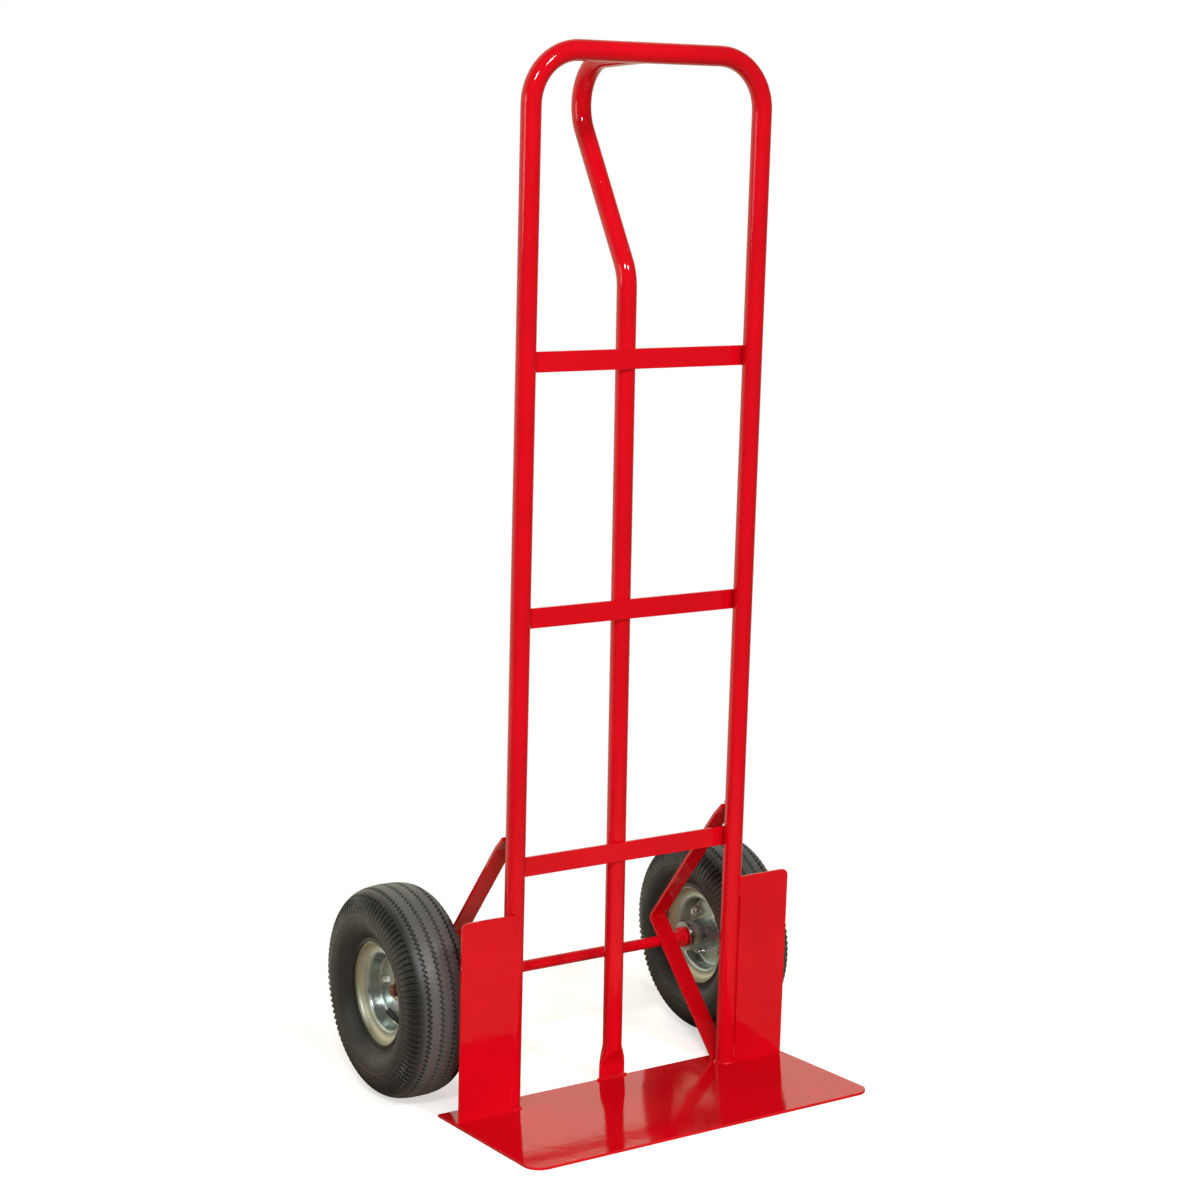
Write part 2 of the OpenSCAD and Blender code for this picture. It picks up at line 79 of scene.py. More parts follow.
WING_INSET = 6 * MM
WING_H = 263 * MM
WING_OUT = 80.7 * MM

BRACE_TOP = 365 * MM
TAB_SLOPE = radians(40)
AXLE_R = 7.5 * MM
COLLAR_X = 189.2 * MM
HUB_R = 20 * MM
RIM_SHEET = 2 * MM

_low, _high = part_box("tyre_left")
TYRE_R = (_high.z - _low.z) / 2
TYRE_HALF_W = (_high.x - _low.x) / 2
WHEEL_X = -(_high.x + _low.x) / 2
AXLE_Y = (_high.y + _low.y) / 2
AXLE_Z = (_high.z + _low.z) / 2


def leaned(x, y, z):
    """A point of the leaning frame (z up the uprights, y straight back from them) in the row frame."""
    return np.array([x, FOOT_Y + y * cos(LEAN) - z * sin(LEAN), y * sin(LEAN) + z * cos(LEAN)])


def skewed(x, y, z):
    """A point that leans sideways with the centre tube, from the tube's foot up."""
    turned_x = x * cos(CENTRE_SKEW) - z * sin(CENTRE_SKEW)
    turned_z = x * sin(CENTRE_SKEW) + z * cos(CENTRE_SKEW)
    return leaned(CENTRE_FOOT_X + turned_x, y, turned_z)


# ---------------------------------------------------------------- camera, floor and light

CAMERA_AT = (-1.5876, -2.5874, 1.0052)
CAMERA_HEADING = radians(31.65)
CAMERA_DOWN = radians(7.02)
CAMERA_ROLL = radians(-1.2)
CAMERA_LENS = 71.9

MIDDLE = (0, 0, 0.6)
STUDIO_DIM = 0.10
STUDIO_BRIGHT = 1.0
BACKDROP_START = 0.05
BACKDROP_FULL = 0.75
STUDIO_WARMTH = (1.0, 0.95, 0.76)
FLOOR_BOUNCE = (0.42, 0.34, 0.28)
FLOOR_GLOW = 0.52
FLOOR_FADE_START = 0.45
FLOOR_FADE_END = 1.3


def make_camera():
    """The camera of the main picture, with a slight roll."""
    data = bpy.data.cameras.new("camera")
    data.lens = CAMERA_LENS
    data.sensor_width = 36
    camera = bpy.data.objects.new("camera", data)
    bpy.context.scene.collection.objects.link(camera)
    turn = (
        Matrix.Rotation(-CAMERA_HEADING, 4, "Z")
        @ Matrix.Rotation(radians(90) - CAMERA_DOWN, 4, "X")
        @ Matrix.Rotation(CAMERA_ROLL, 4, "Z")
    )
    camera.matrix_world = Matrix.Translation(CAMERA_AT) @ turn
    bpy.context.scene.camera = camera


def area_light(name, at, target, size, power, colour=(1, 1, 1), mirrored=True):
    """A square soft light at one point that faces another; glossy surfaces need not mirror it."""
    data = bpy.data.lights.new(name, "AREA")
    data.size = size
    data.energy = power
    data.color = colour
    light = bpy.data.objects.new(name, data)
    light.visible_glossy = mirrored
    bpy.context.scene.collection.objects.link(light)
    step = [t - a for t, a in zip(target, at)]
    heading = atan2(step[1], step[0])
    fall = atan2(-step[2], hypot(step[0], step[1]))
    turn = Matrix.Rotation(heading - radians(90), 4, "Z") @ Matrix.Rotation(radians(90) - fall, 4, "X")
    light.matrix_world = Matrix.Translation(at) @ turn


def make_world():
    """White paper all round for the camera; for light and reflections, warm white behind and dim in front."""
    world = bpy.data.worlds.new("studio")
    bpy.context.scene.world = world
    world.use_nodes = True
    tree = world.node_tree
    background = tree.nodes["Background"]
    direction = add_node(tree, "ShaderNodeTexCoord").outputs["Generated"]
    split = add_node(tree, "ShaderNodeSeparateXYZ", {0: direction})
    behind = remap(tree, split.outputs[1], BACKDROP_START, BACKDROP_FULL, STUDIO_DIM, STUDIO_BRIGHT)
    direct = add_node(tree, "ShaderNodeLightPath").outputs["Is Camera Ray"]
    tree.links.new(mix_colour(tree, direct, STUDIO_WARMTH, (1, 1, 1)), background.inputs["Color"])
    tree.links.new(math(tree, "MAXIMUM", direct, behind), background.inputs["Strength"])


# ---------------------------------------------------------------- material building

def add_node(tree, kind, inputs=None, **settings):
    """A shader node, with its inputs linked or set by name or number."""
    made = tree.nodes.new(kind)
    for key, value in settings.items():
        setattr(made, key, value)
    for key, value in (inputs or {}).items():
        if isinstance(value, bpy.types.NodeSocket):
            tree.links.new(value, made.inputs[key])
        else:
            made.inputs[key].default_value = value
    return made


def start_material(name, **sockets):
    """A material with one Principled shader; returns the material, its tree and that shader."""
    material = bpy.data.materials.new(name)
    material.use_nodes = True
    tree = material.node_tree
    shader = tree.nodes["Principled BSDF"]
    for key, value in sockets.items():
        shader.inputs[key.replace("_", " ")].default_value = value
    return material, tree, shader


def place(tree):
    """Coordinates in metres that go with the piece."""
    return add_node(tree, "ShaderNodeTexCoord").outputs["Object"]


def noise(tree, scale, detail=3.0, rough=0.5):
    """Smooth noise in the piece's own coordinates; scale counts its lumps per metre."""
    inputs = {"Vector": place(tree), "Scale": scale, "Detail": detail, "Roughness": rough}
    return add_node(tree, "ShaderNodeTexNoise", inputs).outputs["Fac"]


def remap(tree, value, low, high, to_low=0.0, to_high=1.0):
    """Carries the range from low to high onto another, clamped at both ends."""
    inputs = {"Value": value, "From Min": low, "From Max": high, "To Min": to_low, "To Max": to_high}
    return add_node(tree, "ShaderNodeMapRange", inputs).outputs["Result"]


def math(tree, operation, a, b=0.0):
    return add_node(tree, "ShaderNodeMath", {0: a, 1: b}, operation=operation).outputs[0]


def mix_colour(tree, share, a, b):
    """Colour a where the share is 0 and b where it is 1; each is a colour or a socket."""
    made = add_node(tree, "ShaderNodeMix", {0: share}, data_type="RGBA")
    for index, value in ((6, a), (7, b)):
        if isinstance(value, bpy.types.NodeSocket):
            tree.links.new(value, made.inputs[index])
        else:
            made.inputs[index].default_value = (*value, 1)
    return made.outputs[2]


def bump(tree, height, distance, strength=1.0, under=None):
    """A normal from a height of so many metres, laid over another normal if one is given."""
    inputs = {"Height": height, "Distance": distance, "Strength": strength}
    if under is not None:
        inputs["Normal"] = under
    return add_node(tree, "ShaderNodeBump", inputs).outputs["Normal"]


def axle_radius(tree):
    """Distance of a point from the wheels' axis, in metres."""
    split = add_node(tree, "ShaderNodeSeparateXYZ", {0: place(tree)})
    y = math(tree, "SUBTRACT", split.outputs[1], AXLE_Y)
    z = math(tree, "SUBTRACT", split.outputs[2], AXLE_Z)
    return math(tree, "SQRT", math(tree, "ADD", math(tree, "MULTIPLY", y, y), math(tree, "MULTIPLY", z, z)))


def from_middle(tree):
    """Distance of a point from the plane of symmetry, in metres."""
    split = add_node(tree, "ShaderNodeSeparateXYZ", {0: place(tree)})
    return math(tree, "ABSOLUTE", split.outputs[0])


# ---------------------------------------------------------------- materials

PAINT = (0.70, 0.0022, 0.0110)
PAINT_DEEP = (0.62, 0.0018, 0.0090)
GLOSS = {"Roughness": 0.5, "Specular_IOR_Level": 0.0, "Coat_Weight": 0.9}
CHIP = (0.55, 0.48, 0.45)
RUST = (0.26, 0.075, 0.035)
RUST_DARK = (0.13, 0.04, 0.022)
PAINTED_TO = 246 * MM


def paint_colour(tree):
    """The red of the powder coat, with faint clouds."""
    clouds = remap(tree, noise(tree, 9, 4), 0.35, 0.65)
    return mix_colour(tree, clouds, PAINT, PAINT_DEEP)


def orange_peel(tree):
    """The slight waviness of powder coat, coarse over fine."""
    fine = bump(tree, noise(tree, 330, 2), 0.00035, 0.16)
    return bump(tree, noise(tree, 55, 2), 0.0012, 0.10, fine)


def finish_paint(tree, shader):
    """Gives painted metal its waviness and an uneven gloss."""
    peel = orange_peel(tree)
    tree.links.new(peel, shader.inputs["Normal"])
    tree.links.new(peel, shader.inputs["Coat Normal"])
    tree.links.new(remap(tree, noise(tree, 40, 4), 0.3, 0.7, 0.04, 0.08), shader.inputs["Coat Roughness"])


def red_paint():
    material, tree, shader = start_material("red_powder_coat", **GLOSS)
    tree.links.new(paint_colour(tree), shader.inputs["Base Color"])
    finish_paint(tree, shader)
    return material


def chipped_paint():
    """The same paint, knocked off in small spots along the outer edges of the wings."""
    material, tree, shader = start_material("red_powder_coat_chipped", **GLOSS)
    edge = remap(tree, from_middle(tree), UPRIGHT_X + WING_OUT - 1.6 * MM, UPRIGHT_X + WING_OUT - 0.4 * MM)
    spots = remap(tree, noise(tree, 160, 3, 0.7), 0.66, 0.70)
    share = math(tree, "MULTIPLY", edge, spots)
    tree.links.new(mix_colour(tree, share, paint_colour(tree), CHIP), shader.inputs["Base Color"])
    finish_paint(tree, shader)
    return material


def axle_finish():
    """Paint, but for the two ends of the rod, which are bare and browned."""
    material, tree, shader = start_material("axle_paint_and_bare_ends", **GLOSS)
    bare = remap(tree, from_middle(tree), PAINTED_TO, PAINTED_TO + 0.4 * MM)
    rust = mix_colour(tree, remap(tree, noise(tree, 260, 5, 0.7), 0.35, 0.65), RUST, RUST_DARK)
    tree.links.new(mix_colour(tree, bare, paint_colour(tree), rust), shader.inputs["Base Color"])
    finish_paint(tree, shader)
    return material


def zinc_plate(name, bright, tint, rough_low, rough_high):
    """Zinc on pressed steel: soft clouds between two tints, fine drawing marks and a cloudy gloss."""
    material, tree, shader = start_material(name, Metallic=1.0)
    clouds = remap(tree, noise(tree, 38, 5, 0.6), 0.35, 0.68)
    tree.links.new(mix_colour(tree, clouds, bright, tint), shader.inputs["Base Color"])
    rough = remap(tree, noise(tree, 75, 4), 0.3, 0.7, rough_low, rough_high)
    tree.links.new(rough, shader.inputs["Roughness"])
    fine = bump(tree, noise(tree, 900, 3), 0.0001, 0.25)
    tree.links.new(bump(tree, noise(tree, 60, 3), 0.0010, 0.18, fine), shader.inputs["Normal"])
    return material


LIP_START = 54 * MM
LIP_FULL = 60 * MM


def rim_zinc():
    """The rim's zinc: yellowish and duller on the lip, pale and faintly green inside it."""
    material, tree, shader = start_material("rim_zinc", Metallic=1.0)
    radius = axle_radius(tree)
    clouds = remap(tree, noise(tree, 45, 5, 0.6), 0.35, 0.68)
    disc = mix_colour(tree, clouds, (0.62, 0.68, 0.66), (0.50, 0.58, 0.56))
    lip = mix_colour(tree, clouds, (0.70, 0.68, 0.50), (0.62, 0.63, 0.52))
    on_lip = remap(tree, radius, LIP_START, LIP_FULL)
    tree.links.new(mix_colour(tree, on_lip, disc, lip), shader.inputs["Base Color"])
    rough = remap(tree, noise(tree, 70, 4), 0.3, 0.7, 0.24, 0.38)
    rough = math(tree, "ADD", rough, math(tree, "MULTIPLY", on_lip, 0.2))
    tree.links.new(rough, shader.inputs["Roughness"])
    rings = add_node(tree, "ShaderNodeTexNoise", {"Scale": 1.0, "Detail": 2.0}, noise_dimensions="1D")
    tree.links.new(math(tree, "MULTIPLY", radius, 1400), rings.inputs["W"])
    fine = bump(tree, rings.outputs["Fac"], 0.00012, 0.25)
    tree.links.new(bump(tree, noise(tree, 60, 3), 0.0010, 0.15, fine), shader.inputs["Normal"])
    return material


def scattered_marks(tree, start, full):
    """Small round marks, where a slow noise passes from start to full."""
    cells = add_node(tree, "ShaderNodeTexVoronoi", {"Vector": place(tree), "Scale": 85.0}).outputs["Distance"]
    some = remap(tree, noise(tree, 30, 1), start, full)
    return math(tree, "MULTIPLY", remap(tree, cells, 0.10, 0.05), some)


def finish_rubber(tree, shader, colour, rough_low, rough_high):
    """Sets the colour, the uneven gloss and the pores of moulded rubber."""
    tree.links.new(colour, shader.inputs["Base Color"])
    rough = remap(tree, noise(tree, 60, 4), 0.3, 0.7, rough_low, rough_high)
    tree.links.new(rough, shader.inputs["Roughness"])
    pores = bump(tree, noise(tree, 1500, 2), 0.00012, 0.35)
    tree.links.new(bump(tree, noise(tree, 240, 3), 0.0003, 0.2, pores), shader.inputs["Normal"])


def rubber(name, dark, dusty, rough_low, rough_high, dust_share):
    """Moulded rubber or plastic: dark with dusty clouds, pores, and scattered small dark marks."""
    material, tree, shader = start_material(name, Specular_IOR_Level=0.45)
    clouds = remap(tree, noise(tree, 22, 5, 0.65), 0.42, 0.70, 0.0, dust_share)
    colour = mix_colour(tree, clouds, dark, dusty)
    marks = scattered_marks(tree, 0.56, 0.60)
    colour = mix_colour(tree, marks, colour, tuple(c * 0.35 for c in dark))
    finish_rubber(tree, shader, colour, rough_low, rough_high)
    return material


def tyre_finish():
    """The tyre's rubber: grey on the tread as painted light, blacker down the walls and in the cuts as
    painted shade, with small dark marks.
    """
    material, tree, shader = start_material("tyre_rubber", Specular_IOR_Level=0.5)
    clouds = remap(tree, noise(tree, 22, 5, 0.65), 0.42, 0.70, 0.0, 0.35)
    # Painted light and shade: the crown's lighter grey and the walls' near-black stand in for how the light
    # falls on the tyre.
    shaded_wall = mix_colour(tree, clouds, (0.019, 0.019, 0.018), (0.050, 0.045, 0.037))
    lit_crown = mix_colour(tree, clouds, (0.100, 0.104, 0.105), (0.130, 0.130, 0.123))
    # Painted shade in the cuts: the lighter grey fades out with depth below the tread, so the groove bottoms
    # go darker.
    lit_tread_share = remap(tree, axle_radius(tree), TYRE_R - 7.0 * MM, TYRE_R - 1.6 * MM)
    colour = mix_colour(tree, lit_tread_share, shaded_wall, lit_crown)
    marks = scattered_marks(tree, 0.52, 0.56)
    finish_rubber(tree, shader, mix_colour(tree, marks, colour, (0.008, 0.008, 0.008)), 0.36, 0.50)
    return material


def floor_finish():
    """White paper under the truck, which fades out into the white all round and throws little light up."""
    material, tree, shader = start_material("floor_paper", Roughness=0.9, Specular_IOR_Level=0.0)
    shade = remap(tree, noise(tree, 3, 3), 0.3, 0.7)
    seen = add_node(tree, "ShaderNodeLightPath").outputs["Is Camera Ray"]
    paper = mix_colour(tree, shade, (0.93, 0.93, 0.93), (0.91, 0.91, 0.91))
    tree.links.new(mix_colour(tree, seen, FLOOR_BOUNCE, paper), shader.inputs["Base Color"])
    shader.inputs["Emission Color"].default_value = (1, 1, 1, 1)
    tree.links.new(math(tree, "MULTIPLY", seen, FLOOR_GLOW), shader.inputs["Emission Strength"])
    reach = add_node(tree, "ShaderNodeVectorMath", {0: place(tree)}, operation="LENGTH").outputs["Value"]
    tree.links.new(remap(tree, reach, FLOOR_FADE_START, FLOOR_FADE_END, 1.0, 0.0), shader.inputs["Alpha"])
    return material


# ---------------------------------------------------------------- mesh building

def add_piece(name, vertices, faces, material, body, sharp=40):
    """A smooth-shaded mesh piece on a body, with edges sharper than an angle kept crisp."""
    mesh = bpy.data.meshes.new(name)
    mesh.from_pydata([tuple(v) for v in vertices], [], [tuple(f) for f in faces])
    mesh.polygons.foreach_set("use_smooth", [True] * len(mesh.polygons))
    mesh.set_sharp_from_angle(angle=radians(sharp))
    mesh.materials.append(material)
    mesh.update()
    piece = bpy.data.objects.new(name, mesh)
    bpy.context.scene.collection.objects.link(piece)
    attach(piece, body)
    return piece


def tube_faces(rings, sides, closed_along=False, first=0):
    """Quads between rings of vertices that each have the same number of sides."""
    faces = []
    for i in range(rings if closed_along else rings - 1):
        j = (i + 1) % rings
        for k in range(sides):
            m = (k + 1) % sides
            corners = ((i, k), (i, m), (j, m), (j, k))
            faces.append(tuple(first + ring * sides + corner for ring, corner in corners))
    return faces


def caps(rings, sides, first=0):
    """The two end faces of an open row of rings."""
    last = first + (rings - 1) * sides
    return [tuple(first + k for k in reversed(range(sides))), tuple(last + k for k in range(sides))]


class Shape:
    """Vertices and faces of several closed surfaces that make one piece."""

    def __init__(self):
        self.vertices = []
        self.faces = []

    def sweep(self, rings, closed_along=False):
        """Adds a surface through rings of points, closed by caps where it doesn't return to its start."""
        first = len(self.vertices)
        sides = len(rings[0])
        for ring in rings:
            self.vertices.extend(ring)
        self.faces.extend(tube_faces(len(rings), sides, closed_along, first))
        if not closed_along:
            self.faces.extend(caps(len(rings), sides, first))

    def piece(self, name, material, body, slot, sharp=40):
        return add_piece(name, self.vertices, self.faces, material, body, sharp)


def unit(vector):
    return vector / np.linalg.norm(vector)


# ---------------------------------------------------------------- weld beads

BEAD_STEP = 0.6 * MM
RIPPLE = 2.4 * MM
BEAD_SIDES = 10
THIN_BEAD = 1.7 * MM
MEDIUM_BEAD = 1.9 * MM
THICK_BEAD = 2.0 * MM


def spaced(points, step, closed):
    """Points at an even step along a line of points."""
    points = np.array(points, float)
    if closed:
        points = np.vstack([points, points[:1]])
    lengths = np.linalg.norm(np.diff(points, axis=0), axis=1)
    along = np.concatenate([[0], np.cumsum(lengths)])
    count = max(4, int(round(along[-1] / step)))
    places = np.linspace(0, along[-1], count + 1)
    if closed:
        places = places[:-1]
    return np.column_stack([np.interp(places, along, points[:, i]) for i in range(3)]), places


def wander(places, seed):
    """A slow, repeatable unevenness between about -1 and 1."""
    k = places / MM
    return 0.6 * np.sin(0.9 * k + 1.7 * seed) + 0.4 * np.sin(2.3 * k + 4.1 * seed)


def add_bead(shape, points, radius, closed=False, seed=0):
    """A weld bead along a line: overlapping ripples, uneven width, and tapered ends where it is open."""
    line, places = spaced(points, BEAD_STEP, closed)
    total = places[-1]
    phase = (places / RIPPLE + 0.15 * wander(places, seed)) % 1.0
    size = radius * (0.86 + 0.22 * np.sqrt(1 - (phase - 0.35) ** 2) - 0.25 * (phase > 0.92))
    size = size * (1 + 0.07 * wander(places, seed + 3))
    if not closed:
        end = np.minimum(places, total - places) / (1.2 * radius)
        size = size * np.sqrt(np.clip(1 - (1 - np.clip(end, 0, 1)) ** 2, 0.04, 1))
    count = len(line)
    rings = []
    for i in range(count):
        before = line[i - 1] if closed or i > 0 else line[0]
        after = line[(i + 1) % count] if closed or i < count - 1 else line[-1]
        along = unit(after - before)
        side = unit(np.cross(along, (0.31, 0.17, 0.94) if abs(along[2]) < 0.9 else (0.9, 0.3, 0.1)))
        up = np.cross(along, side)
        turn = np.arange(BEAD_SIDES) * 2 * pi / BEAD_SIDES
        rings.append([line[i] + size[i] * (cos(a) * side + sin(a) * up) for a in turn])
    shape.sweep(rings, closed)


def loop(centre, u, v, steps=48):
    """A closed ellipse around a centre."""
    centre, u, v = (np.array(p, float) for p in (centre, u, v))
    return [centre + cos(a) * u + sin(a) * v for a in np.arange(steps) * 2 * pi / steps]


def weld_handle():
    """Around the end of the handle's return, where it meets the back of the top bar."""
    top = np.array([0, UPRIGHT_H])
    along = np.array([cos(RETURN_FALL), -sin(RETURN_FALL)])
    across = np.array([sin(RETURN_FALL), cos(RETURN_FALL)])
    inset = TUBE_R - 1.6 * MM
    points = []
    for a in np.arange(72) * 2 * pi / 72:
        off = inset * sin(a)
        reach = sqrt(inset ** 2 - off ** 2) + 1.0 * MM
        y, z = top + along * reach + across * off
        points.append(skewed(inset * cos(a), y, z))
    shape = Shape()
    add_bead(shape, points, 1.6 * MM, closed=True, seed=1)
    return shape


def weld_crossbars():
    """Along the edges of each crossbar on the uprights, and on both sides of the centre tube behind it."""
    shape = Shape()
    back = TUBE_R + BAR_T
    for level, height in enumerate(CROSSBAR_HEIGHTS):
        low, high = height + 1 * MM, height + BAR_W - 1 * MM
        for side in (-1, 1):
            for edge, seed in ((height - 0.6 * MM, 0), (height + BAR_W + 0.6 * MM, 1)):
                xs = (UPRIGHT_X - 5 * MM, UPRIGHT_X + 3.5 * MM)
                ends = [leaned(side * x, TUBE_R + 1.4 * MM, edge) for x in xs]
                add_bead(shape, ends, THIN_BEAD, seed=level + 2 * side + seed)
            ends = [skewed(side * 4.6 * MM, back + 0.8 * MM, z) for z in (low, high)]
            add_bead(shape, ends, THIN_BEAD, seed=level + 5 * side)
    return shape


def brace_slope():
    """The angle of a brace's lower leg, which stands at the upright's foot and lies on the axle."""
    run = AXLE_Y - (FOOT_Y + TUBE_R + 0.2 * MM)
    rise = AXLE_Z - PLATE_T
    return atan2(rise, run) + asin(AXLE_R / hypot(run, rise))


def weld_braces():
    """Across both ends of each brace, and on both sides of the axle under it."""
    shape = Shape()
    slope = brace_slope()
    half = BAR_W / 2 - 1.6 * MM
    saddle_half = 8 * MM
    for side in (-1, 1):
        x = side * UPRIGHT_X
        for face in (1, -1):
            saddle = []
            for off in np.linspace(-saddle_half, saddle_half, 15):
                back = sqrt(TUBE_R ** 2 - off ** 2)
                z = BRACE_TOP - back * tan(TAB_SLOPE) + face * (BAR_T / 2 / cos(TAB_SLOPE) + 0.5 * MM)
                saddle.append(np.array([x + off, FOOT_Y - z * tan(LEAN) + back + 0.6 * MM, z]))
            add_bead(shape, saddle, 1.5 * MM, seed=7 + side + face)
            along = np.array([0, cos(slope), sin(slope)])
            normal = np.array([0, -sin(slope), cos(slope)])
            crevice = np.array([x, AXLE_Y, AXLE_Z]) + (AXLE_R - 0.6 * MM) * normal + face * 4.4 * MM * along
            ends = [crevice + np.array([off, 0, 0]) for off in (-half, half)]
            add_bead(shape, ends, MEDIUM_BEAD, seed=11 + side + face)
        ends = [np.array([x + off, FOOT_Y + TUBE_R + 5.5 * MM, PLATE_T + 0.6 * MM]) for off in (-half, half)]
        add_bead(shape, ends, THICK_BEAD, seed=13 + side)
    return shape


def weld_feet():
    """Around the three tube feet on the toe plate."""
    shape = Shape()
    for side in (-1, 1):
        centre = leaned(side * UPRIGHT_X, 0, PLATE_T)
        centre[2] = PLATE_T + 0.4 * MM
        reach = TUBE_R + 0.4 * MM
        add_bead(shape, loop(centre, (reach, 0, 0), (0, reach, 0)), THICK_BEAD, closed=True, seed=17 + side)
    x, y, _ = skewed(0, CENTRE_GAP, PLATE_T)
    outline = loop((x, y, PLATE_T + 0.3 * MM), (FOOT_W / 2 + 0.5 * MM, 0, 0), (0, FOOT_T / 2 + 0.3 * MM, 0))
    add_bead(shape, outline, THIN_BEAD, closed=True, seed=21)
    for side in (-1, 1):
        corner = x + side * FOOT_W / 2
        start = (corner, y - 0.5 * MM, PLATE_T + 0.8 * MM)
        end = (corner + side * 3.5 * MM, y - 1 * MM, PLATE_T + 0.4 * MM)
        add_bead(shape, [start, end], 2.8 * MM, seed=22 + side)
    return shape


def weld_wings():
    """Short runs at the top and bottom of each wing's inner edge, and stitches along the toe plate."""
    shape = Shape()
    front = -sqrt(TUBE_R ** 2 - WING_INSET ** 2) - 1.2 * MM
    stitches = ((24, 46), (60, 74))
    for side in (-1, 1):
        x = side * (UPRIGHT_X + WING_INSET - 0.6 * MM)
        for low, high in ((WING_H - 27 * MM, WING_H - 0.5 * MM), (PLATE_T + 1 * MM, PLATE_T + 29 * MM)):
            add_bead(shape, [leaned(x, front, low), leaned(x, front, high)], 2.1 * MM, seed=23 + side)
        for stitch in stitches:
            xs = [side * (UPRIGHT_X + reach * MM) for reach in stitch]
            ends = [leaned(along, front + 1.4 * MM, PLATE_T + 0.5 * MM) for along in xs]
            add_bead(shape, ends, 1.8 * MM, seed=27 + side)
    return shape


def weld_collars():
    """Around the axle, on the inner face of each collar."""
    shape = Shape()
    reach = AXLE_R + 0.7 * MM
    for side in (-1, 1):
        centre = (side * (COLLAR_X - 0.4 * MM), AXLE_Y, AXLE_Z)
        add_bead(shape, loop(centre, (0, reach, 0), (0, 0, reach)), MEDIUM_BEAD, closed=True, seed=31 + side)
    return shape


def weld_hub(side):
    """The ring that joins the hub to the inner half of the rim."""
    shape = Shape()
    reach = HUB_R + 0.3 * MM
    centre = (side * (WHEEL_X - RIM_SHEET - 0.3 * MM), AXLE_Y, AXLE_Z)
    add_bead(shape, loop(centre, (0, reach, 0), (0, 0, reach), 96), THIN_BEAD, closed=True, seed=37)
    return shape


# ---------------------------------------------------------------- centre tube

TUBE_SIDES = 48


def crossing(p, u, q, v):
    """The point where the line from p along u meets the line from q along v."""
    share = ((q[0] - p[0]) * v[1] - (q[1] - p[1]) * v[0]) / (u[0] * v[1] - u[1] * v[0])
    return p + share * u


def rounded_path(path, radii, step):
    """A path of straights and arcs as closely spaced points."""
    points = [path[0]]
    for i in range(1, len(path) - 1):
        to_in, to_out = unit(path[i - 1] - path[i]), unit(path[i + 1] - path[i])
        half = np.arccos(np.clip(np.dot(to_in, to_out), -1, 1)) / 2
        setback = radii[i - 1] / tan(half)
        centre = path[i] + unit(to_in + to_out) * radii[i - 1] / sin(half)
        start, end = path[i] + to_in * setback, path[i] + to_out * setback
        sweep = pi - 2 * half
        count = max(3, ceil(radii[i - 1] * sweep / step))
        a, b = unit(start - centre), unit(end - centre)
        for k in range(count + 1):
            t = k / count
            arm = (sin((1 - t) * sweep) * a + sin(t * sweep) * b) / sin(sweep)
            points.append(centre + radii[i - 1] * arm)
    points.append(path[-1])
    return points


def tube_section(height):
    """Half width, half depth and squareness of the centre tube at a height above the floor end."""
    t = np.clip((height - FOOT_FLAT_H) / FOOT_OPEN, 0, 1)
    t = t * t * (3 - 2 * t)
    return FOOT_W / 2 + (TUBE_R - FOOT_W / 2) * t, FOOT_T / 2 + (TUBE_R - FOOT_T / 2) * t, 2 + 4 * (1 - t)


def centre_tube():
    """One tube from its flattened foot up to the handle's kink, bow and return."""
    kink = np.array([CENTRE_GAP, KINK_H])
    top = np.array([0, UPRIGHT_H])
    along_return = np.array([cos(RETURN_FALL), -sin(RETURN_FALL)])
    bow = crossing(kink, np.array([sin(GRIP_ANGLE), cos(GRIP_ANGLE)]), top, along_return)
    base = np.array([CENTRE_GAP, PLATE_T])
    opening = [np.array([CENTRE_GAP, h]) for h in np.linspace(FOOT_FLAT_H, FOOT_FLAT_H + FOOT_OPEN, 17)]
    curve = rounded_path([opening[-1], kink, bow, top + along_return * 4 * MM], [KINK_R, BOW_R], 3 * MM)
    line = [base] + opening + curve[1:]
    rings = []
    for i, point in enumerate(line):
        before, after = line[max(i - 1, 0)], line[min(i + 1, len(line) - 1)]
        along = unit(after - before)
        across = np.array([along[1], -along[0]])
        wide, deep, square = tube_section(point[1]) if i <= len(opening) else (TUBE_R, TUBE_R, 2)
        ring = []
        for a in np.arange(TUBE_SIDES) * 2 * pi / TUBE_SIDES:
            x = wide * np.sign(cos(a)) * abs(cos(a)) ** (2 / square)
            off = deep * np.sign(sin(a)) * abs(sin(a)) ** (2 / square)
            ring.append(skewed(x, point[0] + across[0] * off, point[1] + across[1] * off))
        rings.append(ring)
    shape = Shape()
    shape.sweep(rings)
    return shape


# ---------------------------------------------------------------- tyres

# Millimetres, as (distance from the tyre's middle plane, radius) where in pairs
SECTION_POWER = 2.7
WALL_POWER = 2.1
MID_R = 100
CROWN_H = 37
BEAD = ((13.5, 51), (16.9, 51), (18.3, 52.4), (18.3, 56))
LIP_CENTRE = (29.5, 56)
LIP_CLEAR = 11.3
WALL_START = 72
RING_R = 100.8
RING_HALF = 0.9
RING_RISE = 0.45
CAVITY_MID_R = 97
CAVITY_HALF_W = 40
CAVITY_H = 30
CAVITY_SHAPE = 0.75
GROOVES = (-25, -8.5, 8.5, 25)
BETWEEN = 5.5
MOULD_LINE = ((-0.7, -0.3), (-0.15, 0), (0.15, 0), (0.7, -0.3))
GROOVE_HALF = 2.1
GROOVE_DEEP = 3.6
ZIGZAGS = 120
ZIGZAG_REACH = 1.9
NOTCHES = 96
AROUND = 960
RIB_START = 103
RIB_END = 129.5


def half_width_at(radius):
    """Half width of the tyre's section at a radius, in millimetres."""
    high = abs(radius - MID_R) / CROWN_H
    power = SECTION_POWER if radius > MID_R else WALL_POWER
    return (TYRE_HALF_W / MM - RING_RISE) * max(0, 1 - high ** power) ** (1 / power)


